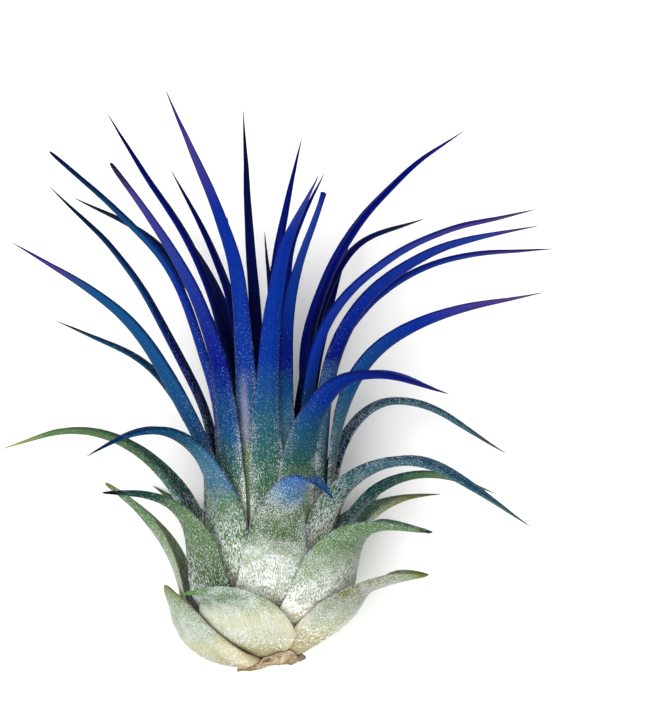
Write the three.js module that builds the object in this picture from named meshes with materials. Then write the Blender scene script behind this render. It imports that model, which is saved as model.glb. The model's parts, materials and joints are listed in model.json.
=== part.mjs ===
// An ionantha air plant of the large Guatemalan form, tinted blue, lying on its side.
// Each leaf is a solid of its own, and so are the short stem and the dry remnant at its foot.
// The plant is shaped upright in a group of its own: stem along +Z, front towards -Y.
// The group is then laid down: the stem points along +Y, a little raised, and the front faces up.
// Lengths are in millimetres and angles in degrees.
import * as THREE from "three";

const { clamp, smoothstep, lerp, degToRad, euclideanModulo } = THREE.MathUtils;

// How the plant lies on its table, which is the plane Z = 0.
const CROWN_RAISE = 12; // slope of the stem, because the lower leaves prop up the crown
const STEM_LIFT = 12; // height of the stem's foot above the table
const REST_ALONG = 18; // along the table from the stem's foot to the spot that the bulb rests on

// The short stem that every leaf grows from: [radius, height] from the foot to the top.
const STEM_PROFILE = [[3.8, 0.55], [3.8, 1.8], [2.7, 7], [2, 14], [1.4, 23], [0.9, 25]];
const STEM_SIDES = 18;
const ROOT_GAP = 0.35; // between a leaf's root and the stem

// The dry remnant below the stem, with a papery lip that stands up in front.
const DRY_RADIUS = 3.9;
const DRY_SHIFT = 0.5; // to the right of the stem's axis
const DRY_BOTTOM = -0.75;
const DRY_TOP = 0.2;
const DRY_RIM = -0.1;
const LIP_TURN = 30; // the direction in which the lip is highest
const LIP_SPREAD = 46; // how far round it reaches to each side
const LIP_RISE = 1.05;
const LIP_OVERHANG = 0.7;
const LIP_THICKNESS = 0.65;
const DRY_RAGGED = [[0.14, 5], [0.1, 11]]; // waves round its rim: [height of the wave, number of waves]
const DRY_SIDES = 30;

// Leaf sheaths stand in rings round the stem, one cup inside the other.
const TOP_ROOT = 25.4;
const RING_DROP = 1.95; // each ring outwards grows from this much lower on the stem
const CORE_REACH = 1.8;
const RING_PITCH = 0.85; // each ring outwards stands this much further from the axis
const CUP_HEIGHT = 2.4; // from a cup's root to its rim, innermost ring
const CUP_HEIGHT_STEP = 0.4; // added by each ring outwards
const CUP_ROWS = [0, 0.3, 0.55, 0.78, 1]; // where a sheath has rows of points, from root to rim
const WIDEST_WRAP = 50; // to each side of the leaf's middle
const WRAP_GAP = 2; // left free between two sheaths of one ring
const RIM_NARROWING = 0.35; // share of its wrap that a sheath has lost at the rim

// Leaf blades.
const SHOULDER = 12; // length over which the sheath narrows to the blade
const BLADE_CURL = 58; // half angle of the blade's channel
const NECK_HEIGHT = 34; // above this the inner leaves stand free
const SHEATH_THICKNESS = 0.6;
const BLADE_THICKNESS = 1;
const TIP_THICKNESS = 0.6;
const MARGIN_SHARE = 0.65; // thickness at the margin, as a share of the middle
const TIP_WIDTH = 0.55;
const TAPER = 0.8; // 1 narrows a blade evenly to its tip, less keeps it broad for longer
const ROW_STEP = 4.2; // between the rows of a blade
const BROAD_RINGS = 4; // the outermost rings have broad leaves, with more points across
const BROAD_ACROSS = 7;
const NARROW_ACROSS = 5;

// Colours of the leaves, from the old silvery ones at the bottom to the dark ones at the back.
const TINTS = {
  silver: "#c9cdb4",
  green: "#7f9380",
  teal: "#44707f",
  blue: "#2443a6",
  navy: "#161f5c",
};
const STEM_COLOUR = "#b9b48c";
const DRY_COLOUR = "#a78a68";

// The rings of leaves, from the lowest and outermost to the youngest.
// turn: direction round the stem, 0 to the front and 90 to the right.
// width: across the blade where it leaves the bulb. tip: across a blunt or broken tip.
// drop: how much lower than its ring the leaf grows.
// flare: how straight its cup slopes outwards; below 0 it is rounder than a quarter ellipse.
// left, right: angle that the sheath wraps to that side. narrow: share of it lost at the rim.
// taper: how the blade narrows, as TAPER says.
// twist: angle that the blade turns round its own length, anticlockwise seen from the tip.
// path: [reach from the stem's axis, height, sway sideways] above the rim, up to the tip.
const RINGS = [
  [
    {
      turn: -80, tint: "silver", width: 8, drop: 0.6, flare: -0.3, right: 67, narrow: 0.6,
      path: [[13.8, 7.4], [14, 9.5]],
    },
    {
      turn: 72, tint: "silver", width: 5.4, drop: -1.5, flare: 0.35, left: 54, right: 20,
      path: [[15, 9.7], [18.4, 11.4], [21.2, 11.4]],
    },
    {
      turn: 180, tint: "silver", width: 9.6, drop: -0.5, left: 36, right: 36,
      path: [[14.2, 10], [15.8, 14], [16.8, 18], [17.6, 22]],
    },
  ],
  [
    {
      turn: -26, tint: "silver", width: 7, drop: 0.4, left: 34.5, right: 42,
      path: [[13.6, 9.2, -0.6], [15.6, 10.8, -2], [16.4, 10, -4.1]],
    },
    {
      turn: 141, tint: "green", width: 5, drop: -0.8, left: 32, right: 32,
      path: [[12, 10], [17, 16], [24.8, 20.3]],
    },
    {
      turn: -84, tint: "green", width: 5.5, tip: 1.2, right: 21, twist: 25,
      path: [[12.6, 12], [17.6, 19.6], [21.7, 22.7]],
    },
  ],
  [
    { turn: 48, tint: "green", width: 6.5, path: [[12, 13.5], [17, 18], [26.6, 18.1]] },
    { turn: 165, tint: "green", width: 6, left: 40, path: [[11.4, 14], [14, 21], [18, 30]] },
    { turn: -136, tint: "green", width: 6, right: 31, path: [[11.15, 12.5], [17, 17.2], [25, 20.3]] },
    { turn: -60, tint: "green", width: 6, path: [[11.4, 16.6], [15.5, 21.3], [23.5, 22.3]] },
  ],
  [
    {
      turn: 3, tint: "teal", width: 5.6, taper: 0.3, left: 40, narrow: 0.42,
      path: [[11.2, 15], [15.2, 23, 2], [19.3, 25, 4.2], [23.4, 22.8, 6.7]],
    },
    { turn: 116, tint: "green", width: 5, path: [[10.4, 14], [17.5, 19.4], [25.3, 20.1]] },
    { turn: -160, tint: "teal", width: 5.5, path: [[10.8, 14], [13.6, 22], [18.5, 31]] },
    { turn: -110, tint: "green", width: 5, path: [[11, 16.5], [18.5, 25.6], [29, 29.2], [41, 26.2]] },
  ],
  [
    { turn: 86, tint: "green", width: 5, path: [[10.2, 17.6], [15.3, 22.7], [21, 24], [29, 21.4]] },
    { turn: 166, tint: "teal", width: 5, path: [[10.6, 18], [16.6, 31], [22, 43]] },
    { turn: -115, tint: "teal", width: 3, path: [[9.6, 24], [14.3, 33], [19.2, 38.2], [34.1, 44.1]] },
    { turn: -47, tint: "teal", width: 6, path: [[9.6, 23.2], [15.9, 29.6], [22.3, 29.9], [28.6, 27.4]] },
  ],
  [
    { turn: 60, tint: "teal", width: 6.2, path: [[9.6, 20.6], [15, 24.9], [21.6, 26.2], [36.3, 19]] },
    { turn: 116, tint: "teal", width: 4.2, path: [[9.4, 25], [14.5, 32.3], [21.5, 33], [36, 25.5]] },
    { turn: -158, tint: "teal", width: 5, path: [[8.9, 20], [16.4, 32], [23, 43.4]] },
    {
      turn: -69, tint: "blue", width: 5.5, twist: 18,
      path: [[8.8, 25], [12.6, 33], [18.1, 42.4], [25, 48.1], [33.6, 53]],
    },
  ],
  [
    { turn: 30, tint: "blue", width: 6, path: [[8.6, 28], [16.4, 35.3], [27.2, 37], [40.7, 35.1]] },
    {
      turn: 82, tint: "blue", width: 5, twist: -38,
      path: [[8.7, 29.4], [12.9, 39.1], [21.7, 44.4], [35, 47.3]],
    },
    { turn: 150, tint: "navy", width: 3.6, path: [[8.2, 28], [12, 40], [17, 50], [22, 58]] },
    { turn: -102, tint: "navy", width: 3.4, path: [[8.8, 30], [14, 41.2], [20.6, 52], [31, 62.1]] },
    {
      turn: -45, tint: "blue", width: 5.2, tip: 0.9,
      path: [[8, 29], [9.8, 38.7], [13.7, 47.7], [20.6, 56.5], [26.2, 62.2]],
    },
  ],
  [
    {
      turn: 6, tint: "blue", width: 4.4,
      path: [[7.4, 28, -1], [9, 38.7, -1], [16, 51.1, 0.2], [28, 59.4, 3.4]],
    },
    {
      turn: 75, tint: "blue", width: 5, twist: -24,
      path: [[7.4, 32], [8.6, 39], [12.6, 46.4], [22, 52.8], [34.7, 55.5]],
    },
    {
      turn: 118, tint: "navy", width: 3.4, tip: 1.2,
      path: [[7.2, 32], [10.9, 42.8], [13.7, 45.5], [17.7, 48.1]],
    },
    { turn: -148, tint: "teal", width: 3, path: [[7.2, 32], [12, 44], [19, 52], [28, 58.4]] },
    {
      turn: -80, tint: "blue", width: 4.6, tip: 0.9,
      path: [[7.4, 32], [9.2, 38.9], [13, 49.8], [19.8, 57.6], [28.8, 65.4]],
    },
  ],
  [
    {
      turn: -25, tint: "blue", width: 4.2,
      path: [[6.6, 30], [8, 38.7], [9.8, 49.9], [17.2, 60], [26.4, 69.6]],
    },
    {
      turn: 56, tint: "blue", width: 3,
      path: [[6, 32], [7.4, 40.8], [12, 47.3], [23.8, 53.8], [38, 56.3]],
    },
    {
      turn: 99, tint: "navy", width: 3,
      path: [[6.4, 33], [9.6, 42], [15.9, 48.6], [24, 52.4], [38, 53.7]],
    },
    { turn: 137, tint: "teal", width: 3, path: [[6.2, 33], [9.4, 46], [16, 54.4], [31, 59.3]] },
    {
      turn: -125, tint: "teal", width: 3,
      path: [[6.2, 32], [10.6, 43.6], [15.8, 50.4], [20.6, 55.4], [36, 62.2]],
    },
  ],
  [
    {
      turn: 22, tint: "blue", width: 3.6, tip: 1,
      path: [[5, 33], [5.4, 40], [7.8, 47.9], [14, 59.2, 1.8]],
    },
    {
      turn: 112, tint: "navy", width: 4.8,
      path: [[5, 33], [5.4, 41.8], [10.3, 54], [19.7, 64.6], [28, 70.3]],
    },
    {
      turn: 160, tint: "navy", width: 3,
      path: [[5, 36], [6, 46, 0.4], [8.6, 54.5, 0.8], [14, 64.5, -2]],
    },
    {
      turn: -102, tint: "navy", width: 3.8,
      path: [[5.2, 33], [7.4, 44.3], [11.3, 54.1], [17.6, 63.6], [22.8, 71.7]],
    },
  ],
  [
    {
      turn: 178, tint: "navy", width: 3,
      path: [[4.2, 33, 0.6], [4.8, 43.5, 0.3], [6, 54.1, -0.4], [9, 68.8, -3.3]],
    },
    { turn: -124, tint: "navy", width: 3, path: [[4.2, 33], [6.9, 46.6], [10.8, 55.2], [17.2, 64.6]] },
  ],
  [
    {
      turn: -140, tint: "navy", width: 3.2,
      path: [[3.5, 33], [3.6, 43], [4.8, 53.2, 0], [6.8, 72, -0.4]],
    },
    { turn: 30, tint: "navy", width: 2, path: [[3, 33], [2.8, 40, -1], [3, 54.9, -2.6]] },
  ],
  [
    { turn: -95, tint: "navy", width: 1.8, path: [[2.7, 34], [4, 46], [6, 57.5]] },
    { turn: 20, tint: "navy", width: 1.6, path: [[1.6, 34], [0.8, 42], [0.6, 50.8, -0.4]] },
  ],
];

// Unit vectors outwards and sideways for a direction round the stem.
function compass(turn) {
  const angle = degToRad(turn);
  return {
    out: new THREE.Vector3(Math.sin(angle), -Math.cos(angle), 0),
    side: new THREE.Vector3(Math.cos(angle), Math.sin(angle), 0),
  };
}

// Each sheath of a ring reaches halfway to its neighbours, but never past the widest wrap.
function wrapTowards(leaf, neighbour, direction) {
  const between = euclideanModulo((neighbour.turn - leaf.turn) * direction, 360);
  return Math.min(WIDEST_WRAP, (between - WRAP_GAP) / 2);
}

// The leaves in order, each with the number of its ring counted from the middle.
function orderedLeaves() {
  return RINGS.flatMap((ring, i) =>
    ring.map((leaf, k) => ({
      ring: RINGS.length - i,
      right: wrapTowards(leaf, ring[(k + 1) % ring.length], 1),
      left: wrapTowards(leaf, ring[(k + ring.length - 1) % ring.length], -1),
      drop: 0,
      flare: 0,
      narrow: RIM_NARROWING,
      tip: TIP_WIDTH,
      taper: TAPER,
      twist: 0,
      ...leaf,
    })),
  );
}

function stemRadius(height) {
  const above = Math.max(1, STEM_PROFILE.findIndex(([, h]) => h > height));
  const [[r0, h0], [r1, h1]] = STEM_PROFILE.slice(above - 1, above + 1);
  return lerp(r0, r1, clamp((height - h0) / (h1 - h0), 0, 1));
}

function ringReach(ring) {
  return CORE_REACH + RING_PITCH * ring;
}

// The quarter ellipse that a sheath follows from the stem to its cup's rim.
function cupPoint({ ring, drop, flare }, share) {
  const root = TOP_ROOT - RING_DROP * ring - drop;
  const start = stemRadius(root) + ROOT_GAP;
  const angle = (share * Math.PI) / 2;
  const height = CUP_HEIGHT + CUP_HEIGHT_STEP * ring;
  return [
    lerp(start, ringReach(ring), lerp(Math.sin(angle), share, flare)),
    root + height * lerp(1 - Math.cos(angle), share, flare),
  ];
}

// Points and directions along the middle of a leaf, from its root to its tip.
function leafStations(leaf) {
  const { out, side } = compass(leaf.turn);
  const place = ([reach, height, sway = 0]) =>
    new THREE.Vector3(0, 0, height).addScaledVector(out, reach).addScaledVector(side, sway);
  const cup = CUP_ROWS.map((share) => place(cupPoint(leaf, share)));
  const spine = new THREE.CatmullRomCurve3([...cup, ...leaf.path.map(place)], false, "centripetal");
  spine.arcLengthDivisions = 400;
  const length = spine.getLength();
  const lengths = spine.getLengths(400);
  const rimAt = lengths[Math.round((400 * (cup.length - 1)) / (spine.points.length - 1))];
  const bladeRows = Math.round((length - rimAt) / ROW_STEP);
  const distances = [
    ...CUP_ROWS.map((_, i) => lengths[Math.round((400 * i) / (spine.points.length - 1))]),
    ...Array.from({ length: bladeRows }, (_, i) => lerp(rimAt, length, (i + 1) / bladeRows)),
  ];
  return distances.map((distance, i) => {
    const share = distance / length;
    return {
      point: spine.getPointAt(share),
      along: spine.getTangentAt(share),
      cupShare: CUP_ROWS[i] ?? 1,
      pastRim: Math.max(0, distance - rimAt),
      bladeShare: Math.max(0, distance - rimAt) / (length - rimAt),
      shoulder: Math.min(SHOULDER, 0.8 * (length - rimAt)),
    };
  });
}

// The middle surface of a leaf, as rows of points across it, with the thickness of each row.
function leafRows(leaf, across) {
  const { out, side } = compass(leaf.turn);
  return leafStations(leaf).map(({ point, along, cupShare, pastRim, bladeShare, shoulder }) => {
    const reach = Math.hypot(point.x, point.y);
    const lateral = side.clone().addScaledVector(along, -side.dot(along)).normalize();
    lateral.applyAxisAngle(along, degToRad(leaf.twist) * smoothstep(pastRim, 6, 2 * shoulder));
    const normal = lateral.clone().cross(along).normalize();
    const free = Math.max(
      smoothstep(reach - ringReach(leaf.ring), 0, 4) * smoothstep(pastRim, 0, 4),
      smoothstep(point.z, NECK_HEIGHT - 4, NECK_HEIGHT + 8),
    );
    const inward = out.clone().lerp(normal, free).normalize().negate();
    const wrapShare = 1 - leaf.narrow * cupShare ** 2;
    const left = lerp(degToRad(leaf.left) * wrapShare, degToRad(BLADE_CURL), free);
    const right = lerp(degToRad(leaf.right) * wrapShare, degToRad(BLADE_CURL), free);
    const sheathHalf = (reach * wrapShare * degToRad(leaf.left + leaf.right)) / 2;
    const bladeHalf = Math.max(leaf.tip, leaf.width * (1 - bladeShare) ** leaf.taper) / 2;
    const half = lerp(sheathHalf, bladeHalf, smoothstep(pastRim, 0, shoulder));
    const radius = Math.max(half / ((left + right) / 2), 0.3);
    const points = Array.from({ length: across }, (_, j) => {
      const angle = lerp(-left, right, j / (across - 1));
      return point.clone()
        .addScaledVector(lateral, radius * Math.sin(angle))
        .addScaledVector(inward, radius * (1 - Math.cos(angle)));
    });
    const blade = lerp(TIP_THICKNESS, BLADE_THICKNESS, Math.min(1, 2.5 * (1 - bladeShare)));
    return { points, thickness: lerp(SHEATH_THICKNESS, blade, free) };
  });
}

// Unit normal of the middle surface at row i and place j, pointing away from the stem.
function surfaceNormal(rows, i, j) {
  const at = (row, place) => {
    const { points } = rows[clamp(row, 0, rows.length - 1)];
    return points[clamp(place, 0, points.length - 1)];
  };
  const along = at(i + 1, j).clone().sub(at(i - 1, j));
  const across = at(i, j + 1).clone().sub(at(i, j - 1));
  return across.cross(along).normalize();
}

// Height of a point above the table once the plant is laid down.
function heightAboveTable(point) {
  const slope = degToRad(CROWN_RAISE);
  return STEM_LIFT - point.y * Math.cos(slope) + point.z * Math.sin(slope);
}

// The table presses a leaf flat where it would reach lower than the given height.
function pressToTable(point, lowest) {
  const slope = degToRad(CROWN_RAISE);
  const lift = Math.max(0, lowest - heightAboveTable(point));
  point.y -= lift * Math.cos(slope);
  point.z += lift * Math.sin(slope);
  return point;
}

// A body from rings of equally many points; flat caps of quads close the first and last ring.
function ringsGeometry(rings) {
  const size = rings[0].length;
  const last = (rings.length - 1) * size;
  const index = [];
  const quad = (a, b, c, d) => index.push(a, b, c, a, c, d);
  for (let i = 0; i + 1 < rings.length; i++) {
    for (let j = 0; j < size; j++) {
      const next = (j + 1) % size;
      quad(i * size + j, i * size + next, (i + 1) * size + next, (i + 1) * size + j);
    }
  }
  for (let j = 0; j + 1 < size / 2; j++) {
    const facing = size - 1 - j;
    quad(j + 1, j, facing, facing - 1);
    quad(last + j, last + j + 1, last + facing - 1, last + facing);
  }
  const geometry = new THREE.BufferGeometry();
  const positions = rings.flat().flatMap((point) => point.toArray());
  geometry.setAttribute("position", new THREE.Float32BufferAttribute(positions, 3));
  geometry.setIndex(index);
  geometry.computeVertexNormals();
  return geometry;
}

// A closed leaf: in each row the outer face from left to right, then the inner face back.
function leafGeometry(leaf) {
  const across = leaf.ring > RINGS.length - BROAD_RINGS ? BROAD_ACROSS : NARROW_ACROSS;
  const rows = leafRows(leaf, across);
  const rings = rows.map(({ points, thickness }, i) => {
    const outer = [];
    const inner = [];
    points.forEach((point, j) => {
      const edge = Math.abs((2 * j) / (across - 1) - 1);
      const local = thickness * lerp(1, MARGIN_SHARE, edge ** 2);
      const normal = surfaceNormal(rows, i, j);
      outer.push(pressToTable(point.clone().addScaledVector(normal, local / 2), 0));
      inner.push(pressToTable(point.clone().addScaledVector(normal, -local / 2), thickness));
    });
    return [...outer, ...inner.reverse()];
  });
  return ringsGeometry(rings);
}

function circle(radius, height, sides) {
  return Array.from({ length: sides }, (_, k) => {
    const { out } = compass((360 * k) / sides);
    return out.multiplyScalar(radius).setZ(height);
  });
}

function stemGeometry() {
  return ringsGeometry(STEM_PROFILE.map(([radius, height]) => circle(radius, height, STEM_SIDES)));
}

// How far the lip has risen in a direction, from 0 to 1, with a torn edge.
function lipShare(turn) {
  const away = euclideanModulo(turn - LIP_TURN + 180, 360) - 180;
  const torn = 0.82 + 0.18 * Math.sin(degToRad(9 * turn));
  return torn * (1 - smoothstep(Math.abs(away), LIP_SPREAD / 2, LIP_SPREAD));
}

// Rings from the underside, up the ragged rim, over the lip and back to the middle of the top.
function dryBaseGeometry() {
  const ring = (reachAt, heightAt) =>
    circle(1, 0, DRY_SIDES).map((point, k) => {
      const turn = (360 * k) / DRY_SIDES;
      const waves = DRY_RAGGED.map(([height, count]) => height * Math.sin(degToRad(count * turn)));
      const rim = DRY_RADIUS + waves[0] + waves[1] + LIP_OVERHANG * lipShare(turn);
      const reach = reachAt(rim);
      return point.multiplyScalar(reach).setZ(heightAt(DRY_RIM + LIP_RISE * lipShare(turn)));
    });
  const rings = [
    ring((rim) => 0.55 * rim, () => DRY_BOTTOM),
    ring((rim) => 0.9 * rim, () => DRY_BOTTOM + 0.12),
    ring((rim) => rim, (top) => lerp(DRY_BOTTOM, top, 0.6)),
    ring((rim) => rim, (top) => top),
    ring((rim) => rim - LIP_THICKNESS, (top) => top),
    ring((rim) => rim - LIP_THICKNESS - 0.25, () => DRY_RIM),
    ring((rim) => 0.5 * rim, () => DRY_TOP),
  ];
  return ringsGeometry(rings).translate(DRY_SHIFT, 0, 0);
}

const plant = new THREE.Group();
plant.rotation.x = degToRad(CROWN_RAISE - 90);
plant.position.set(0, -REST_ALONG, STEM_LIFT);

function addPiece(name, geometry, color, roughness) {
  const mesh = new THREE.Mesh(geometry, new THREE.MeshStandardMaterial({ color, roughness, metalness: 0 }));
  mesh.name = name;
  plant.add(mesh);
}

orderedLeaves().forEach((leaf, i) => {
  addPiece(`leaf_${String(i + 1).padStart(2, "0")}`, leafGeometry(leaf), TINTS[leaf.tint], 0.7);
});
addPiece("stem", stemGeometry(), STEM_COLOUR, 0.85);
addPiece("dry_base", dryBaseGeometry(), DRY_COLOUR, 0.95);

const part = new THREE.Group();
part.add(plant);
export default part;
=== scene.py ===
# %% [markdown]
# # An ionantha air plant, lying on its side
# The plant is a rosette of 47 leaves on a very short stem. Each leaf starts as a broad, pale sheath
# that wraps the bulb, and runs out into a narrow channelled blade with a needle tip.
# A coat of tiny silver scales covers the leaves, and a blue dye colours their upper halves.
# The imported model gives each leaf's solid. This script dresses each one: it smooths a copy of the
# solid, draws out its tip, gives it a skin whose colour changes from root to tip, and grows scales on it.

# %% Load the model and the tools
import json
import math

import bpy
import numpy as np
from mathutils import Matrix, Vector, noise
from mathutils.bvhtree import BVHTree

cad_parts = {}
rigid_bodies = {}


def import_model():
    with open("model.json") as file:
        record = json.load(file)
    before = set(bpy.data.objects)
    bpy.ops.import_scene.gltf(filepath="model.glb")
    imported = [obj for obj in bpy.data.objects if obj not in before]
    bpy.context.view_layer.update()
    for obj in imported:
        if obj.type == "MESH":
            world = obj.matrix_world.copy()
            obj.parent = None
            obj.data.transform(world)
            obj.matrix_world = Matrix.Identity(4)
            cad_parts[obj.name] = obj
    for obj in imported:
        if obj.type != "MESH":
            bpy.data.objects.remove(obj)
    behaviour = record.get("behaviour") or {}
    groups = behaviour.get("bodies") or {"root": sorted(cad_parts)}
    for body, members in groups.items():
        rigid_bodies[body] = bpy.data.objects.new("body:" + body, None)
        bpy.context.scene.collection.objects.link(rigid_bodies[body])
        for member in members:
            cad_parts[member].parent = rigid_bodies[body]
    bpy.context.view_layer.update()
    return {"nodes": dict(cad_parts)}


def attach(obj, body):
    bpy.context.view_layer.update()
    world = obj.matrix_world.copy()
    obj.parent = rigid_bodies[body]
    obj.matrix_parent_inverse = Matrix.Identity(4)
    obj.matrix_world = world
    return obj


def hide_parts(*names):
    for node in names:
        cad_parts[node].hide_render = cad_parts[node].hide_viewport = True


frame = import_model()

MM = 0.001
SEED = 11
scene = bpy.context.scene
draw = np.random.default_rng(SEED)
noise.seed_set(SEED)  # without it, the noise would differ from run to run
bpy.ops.object.select_all(action="DESELECT")
print("nodes in the model:", len(frame["nodes"]))

# %% [markdown]
# ## The camera
# The photograph looks straight down on the table, tilted a little towards the crown. The distance to
# the picture plane is known in pixels, so the lens follows from the sensor's size: the long side of
# the picture is as wide as the sensor.

# %% Camera
PHOTO_WIDTH, PHOTO_HEIGHT = 670, 719
PICTURE_DISTANCE = 1500  # in pixels
CAMERA_PLACE = (8.27 * MM, -21 * MM, 212.8 * MM)
CAMERA_TILT = math.radians(12)

bpy.ops.object.camera_add(location=CAMERA_PLACE, rotation=(CAMERA_TILT, 0, 0))
camera = bpy.context.object
camera.data.lens = camera.data.sensor_width * PICTURE_DISTANCE / max(PHOTO_WIDTH, PHOTO_HEIGHT)
camera.data.clip_start = 10 * MM
scene.camera = camera
print("lens:", round(camera.data.lens, 1), "mm")

# %% [markdown]
# ## Finding a leaf's rows
# A leaf's solid is a tube: rows of points run round it, one row after another from root to tip, and
# a diagonal splits each of its quads. To smooth the leaf, the quads are needed again, and to colour
# it, each point has to know how far along the leaf it lies. Both follow from the rows. The root row
# is the one nearest the stem, and each next row holds the points that are one edge further away.

# %% Where a point lies along the stem
STEM_FOOT = Vector((0, -18, 12)) * MM
STEM_SLOPE = math.radians(12)
STEM_WAY = Vector((0, math.cos(STEM_SLOPE), math.sin(STEM_SLOPE)))


def stem_place(point):
    """How far a point lies from the stem's line, and how far up that line."""
    from_foot = point - STEM_FOOT
    height = from_foot.dot(STEM_WAY)
    return (from_foot - height * STEM_WAY).length, height


# %% Rows of points
BROAD_LEAVES = 14  # the lowest leaves have more points across
BROAD_ACROSS, NARROW_ACROSS = 7, 5
ROOT_ZONE = 2 * MM  # the root row lies within this height of the leaf's lowest point
RIM_ROW = 4  # where the sheath ends
CORNER_LINKS = 4  # edges that meet at the two corners of the root row


def neighbours(mesh):
    near = [set() for _ in mesh.vertices]
    for edge in mesh.edges:
        a, b = edge.vertices
        near[a].add(b)
        near[b].add(a)
    return near


def row_layers(mesh, near, size):
    """Sets of points, the root row first, each one edge further from it."""
    places = [stem_place(vertex.co) for vertex in mesh.vertices]
    lowest = min(height for _, height in places)
    low = [i for i, (_, height) in enumerate(places) if height < lowest + ROOT_ZONE]
    layer = set(sorted(low, key=lambda i: places[i][0])[:size])
    layers, seen = [], set()
    while layer:
        layers.append(layer)
        seen |= layer
        layer = set().union(*(near[i] for i in layer)) - seen
    return layers


def walk_round(layer, near):
    """The points of a layer in the order in which they lie round the leaf."""
    order = [min(layer)]
    ahead = min(near[order[0]] & layer)
    while ahead != order[0]:
        order.append(ahead)
        ahead = ((near[ahead] & layer) - {order[-2]}).pop()
    return order


def between(row, layer, near):
    """The point of the next layer that each two neighbours of a row share."""
    links = [near[point] & layer for point in row]
    return [(links[j] & links[(j + 1) % len(row)]).pop() for j in range(len(row))]


def leaf_rows(mesh, across):
    """Rows of point numbers: the outer face from left to right, then the inner face back."""
    near = neighbours(mesh)
    layers = row_layers(mesh, near, 2 * across)
    row = walk_round(layers[1], near)
    where = {i: mesh.vertices[i].co for layer in layers[:3] for i in layer}
    middle = [sum((where[i] for i in layer), Vector()) / len(layer) for layer in layers[1:3]]
    area = sum((where[a].cross(where[b]) for a, b in zip(row, row[1:] + row[:1])), Vector())
    if area.dot(middle[1] - middle[0]) < 0:
        row.reverse()
    rows = [between(row, layers[0], near), row]
    for layer in layers[2:]:
        shared = between(rows[-1], layer, near)
        rows.append(shared[-1:] + shared[:-1])
    start = next(j for j, point in enumerate(rows[0]) if len(near[point]) == CORNER_LINKS)
    rows = [row[start:] + row[:start] for row in rows]
    reach = [stem_place(mesh.vertices[i].co)[0] for i in rows[RIM_ROW]]
    if sum(reach[across:]) > sum(reach[:across]):
        rows = [row[across:] + row[:across] for row in rows]
    return rows


# %% [markdown]
# ## A smooth leaf
# A copy of the solid is merged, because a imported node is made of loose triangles. The diagonals are
# dissolved, which leaves the quads that a subdivision surface needs. The solid's tip is blunt, so
# its last rows are drawn in to a needle, apart from the leaves that end otherwise.

# %% Copy and merge a leaf
MERGE_DISTANCE = 0.001 * MM


def select_only(piece):
    bpy.ops.object.select_all(action="DESELECT")
    piece.select_set(True)
    bpy.context.view_layer.objects.active = piece


def copy_node(node, name):
    """A merged copy of a CAD node, free of its body."""
    select_only(frame["nodes"][node])
    bpy.ops.object.duplicate()
    piece = bpy.context.object
    piece.name = name
    piece.data.name = name
    bpy.ops.object.parent_clear(type="CLEAR")
    for key in list(piece.keys()):
        del piece[key]
    bpy.ops.object.mode_set(mode="EDIT")
    bpy.ops.mesh.select_all(action="SELECT")
    bpy.ops.mesh.remove_doubles(threshold=MERGE_DISTANCE)
    bpy.ops.object.mode_set(mode="OBJECT")
    return piece


# %% Bring back the quads
def diagonals(rows, across):
    """The pairs of points that the solid's diagonals join, on the tube and on its two caps."""
    size = 2 * across
    pairs = [
        (low[j], high[(j + 1) % size]) for low, high in zip(rows, rows[1:]) for j in range(size)
    ]
    pairs += [(rows[0][j + 1], rows[0][size - 1 - j]) for j in range(across - 1)]
    pairs += [(rows[-1][j], rows[-1][size - 2 - j]) for j in range(across - 1)]
    return {frozenset(pair) for pair in pairs}


def deselect_mesh(kind):
    """Deselects all of the active mesh, in edge or point mode."""
    bpy.ops.object.mode_set(mode="EDIT")
    bpy.ops.mesh.select_mode(type=kind)
    bpy.ops.mesh.select_all(action="DESELECT")
    bpy.ops.object.mode_set(mode="OBJECT")


def dissolve_diagonals(piece, rows, across):
    found = diagonals(rows, across)
    deselect_mesh("EDGE")
    for edge in piece.data.edges:
        edge.select = frozenset(edge.vertices) in found
    bpy.ops.object.mode_set(mode="EDIT")
    bpy.ops.mesh.dissolve_edges(use_verts=False)
    bpy.ops.object.mode_set(mode="OBJECT")


# %% [markdown]
# Each point is then told where it lies: how far along the leaf, how far across it, and on which face.
# Subdivision carries these values on to the new points, so that the skin and the scales can use them.
# A UV map in millimetres, measured round and along the leaf, carries the fine patterns.

# %% Measure the leaf and write its attributes
LEAF_MAP = "leaf"


def write_attribute(mesh, name, values):
    attribute = mesh.attributes.get(name) or mesh.attributes.new(name, "FLOAT", "POINT")
    attribute.data.foreach_set("value", np.asarray(values, np.float32))


def read_attribute(mesh, name):
    values = np.zeros(len(mesh.vertices), np.float32)
    mesh.attributes[name].data.foreach_get("value", values)
    return values


def points_of(mesh):
    places = np.zeros(len(mesh.vertices) * 3, np.float32)
    mesh.vertices.foreach_get("co", places)
    return places.reshape(-1, 3).astype(float)


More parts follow.
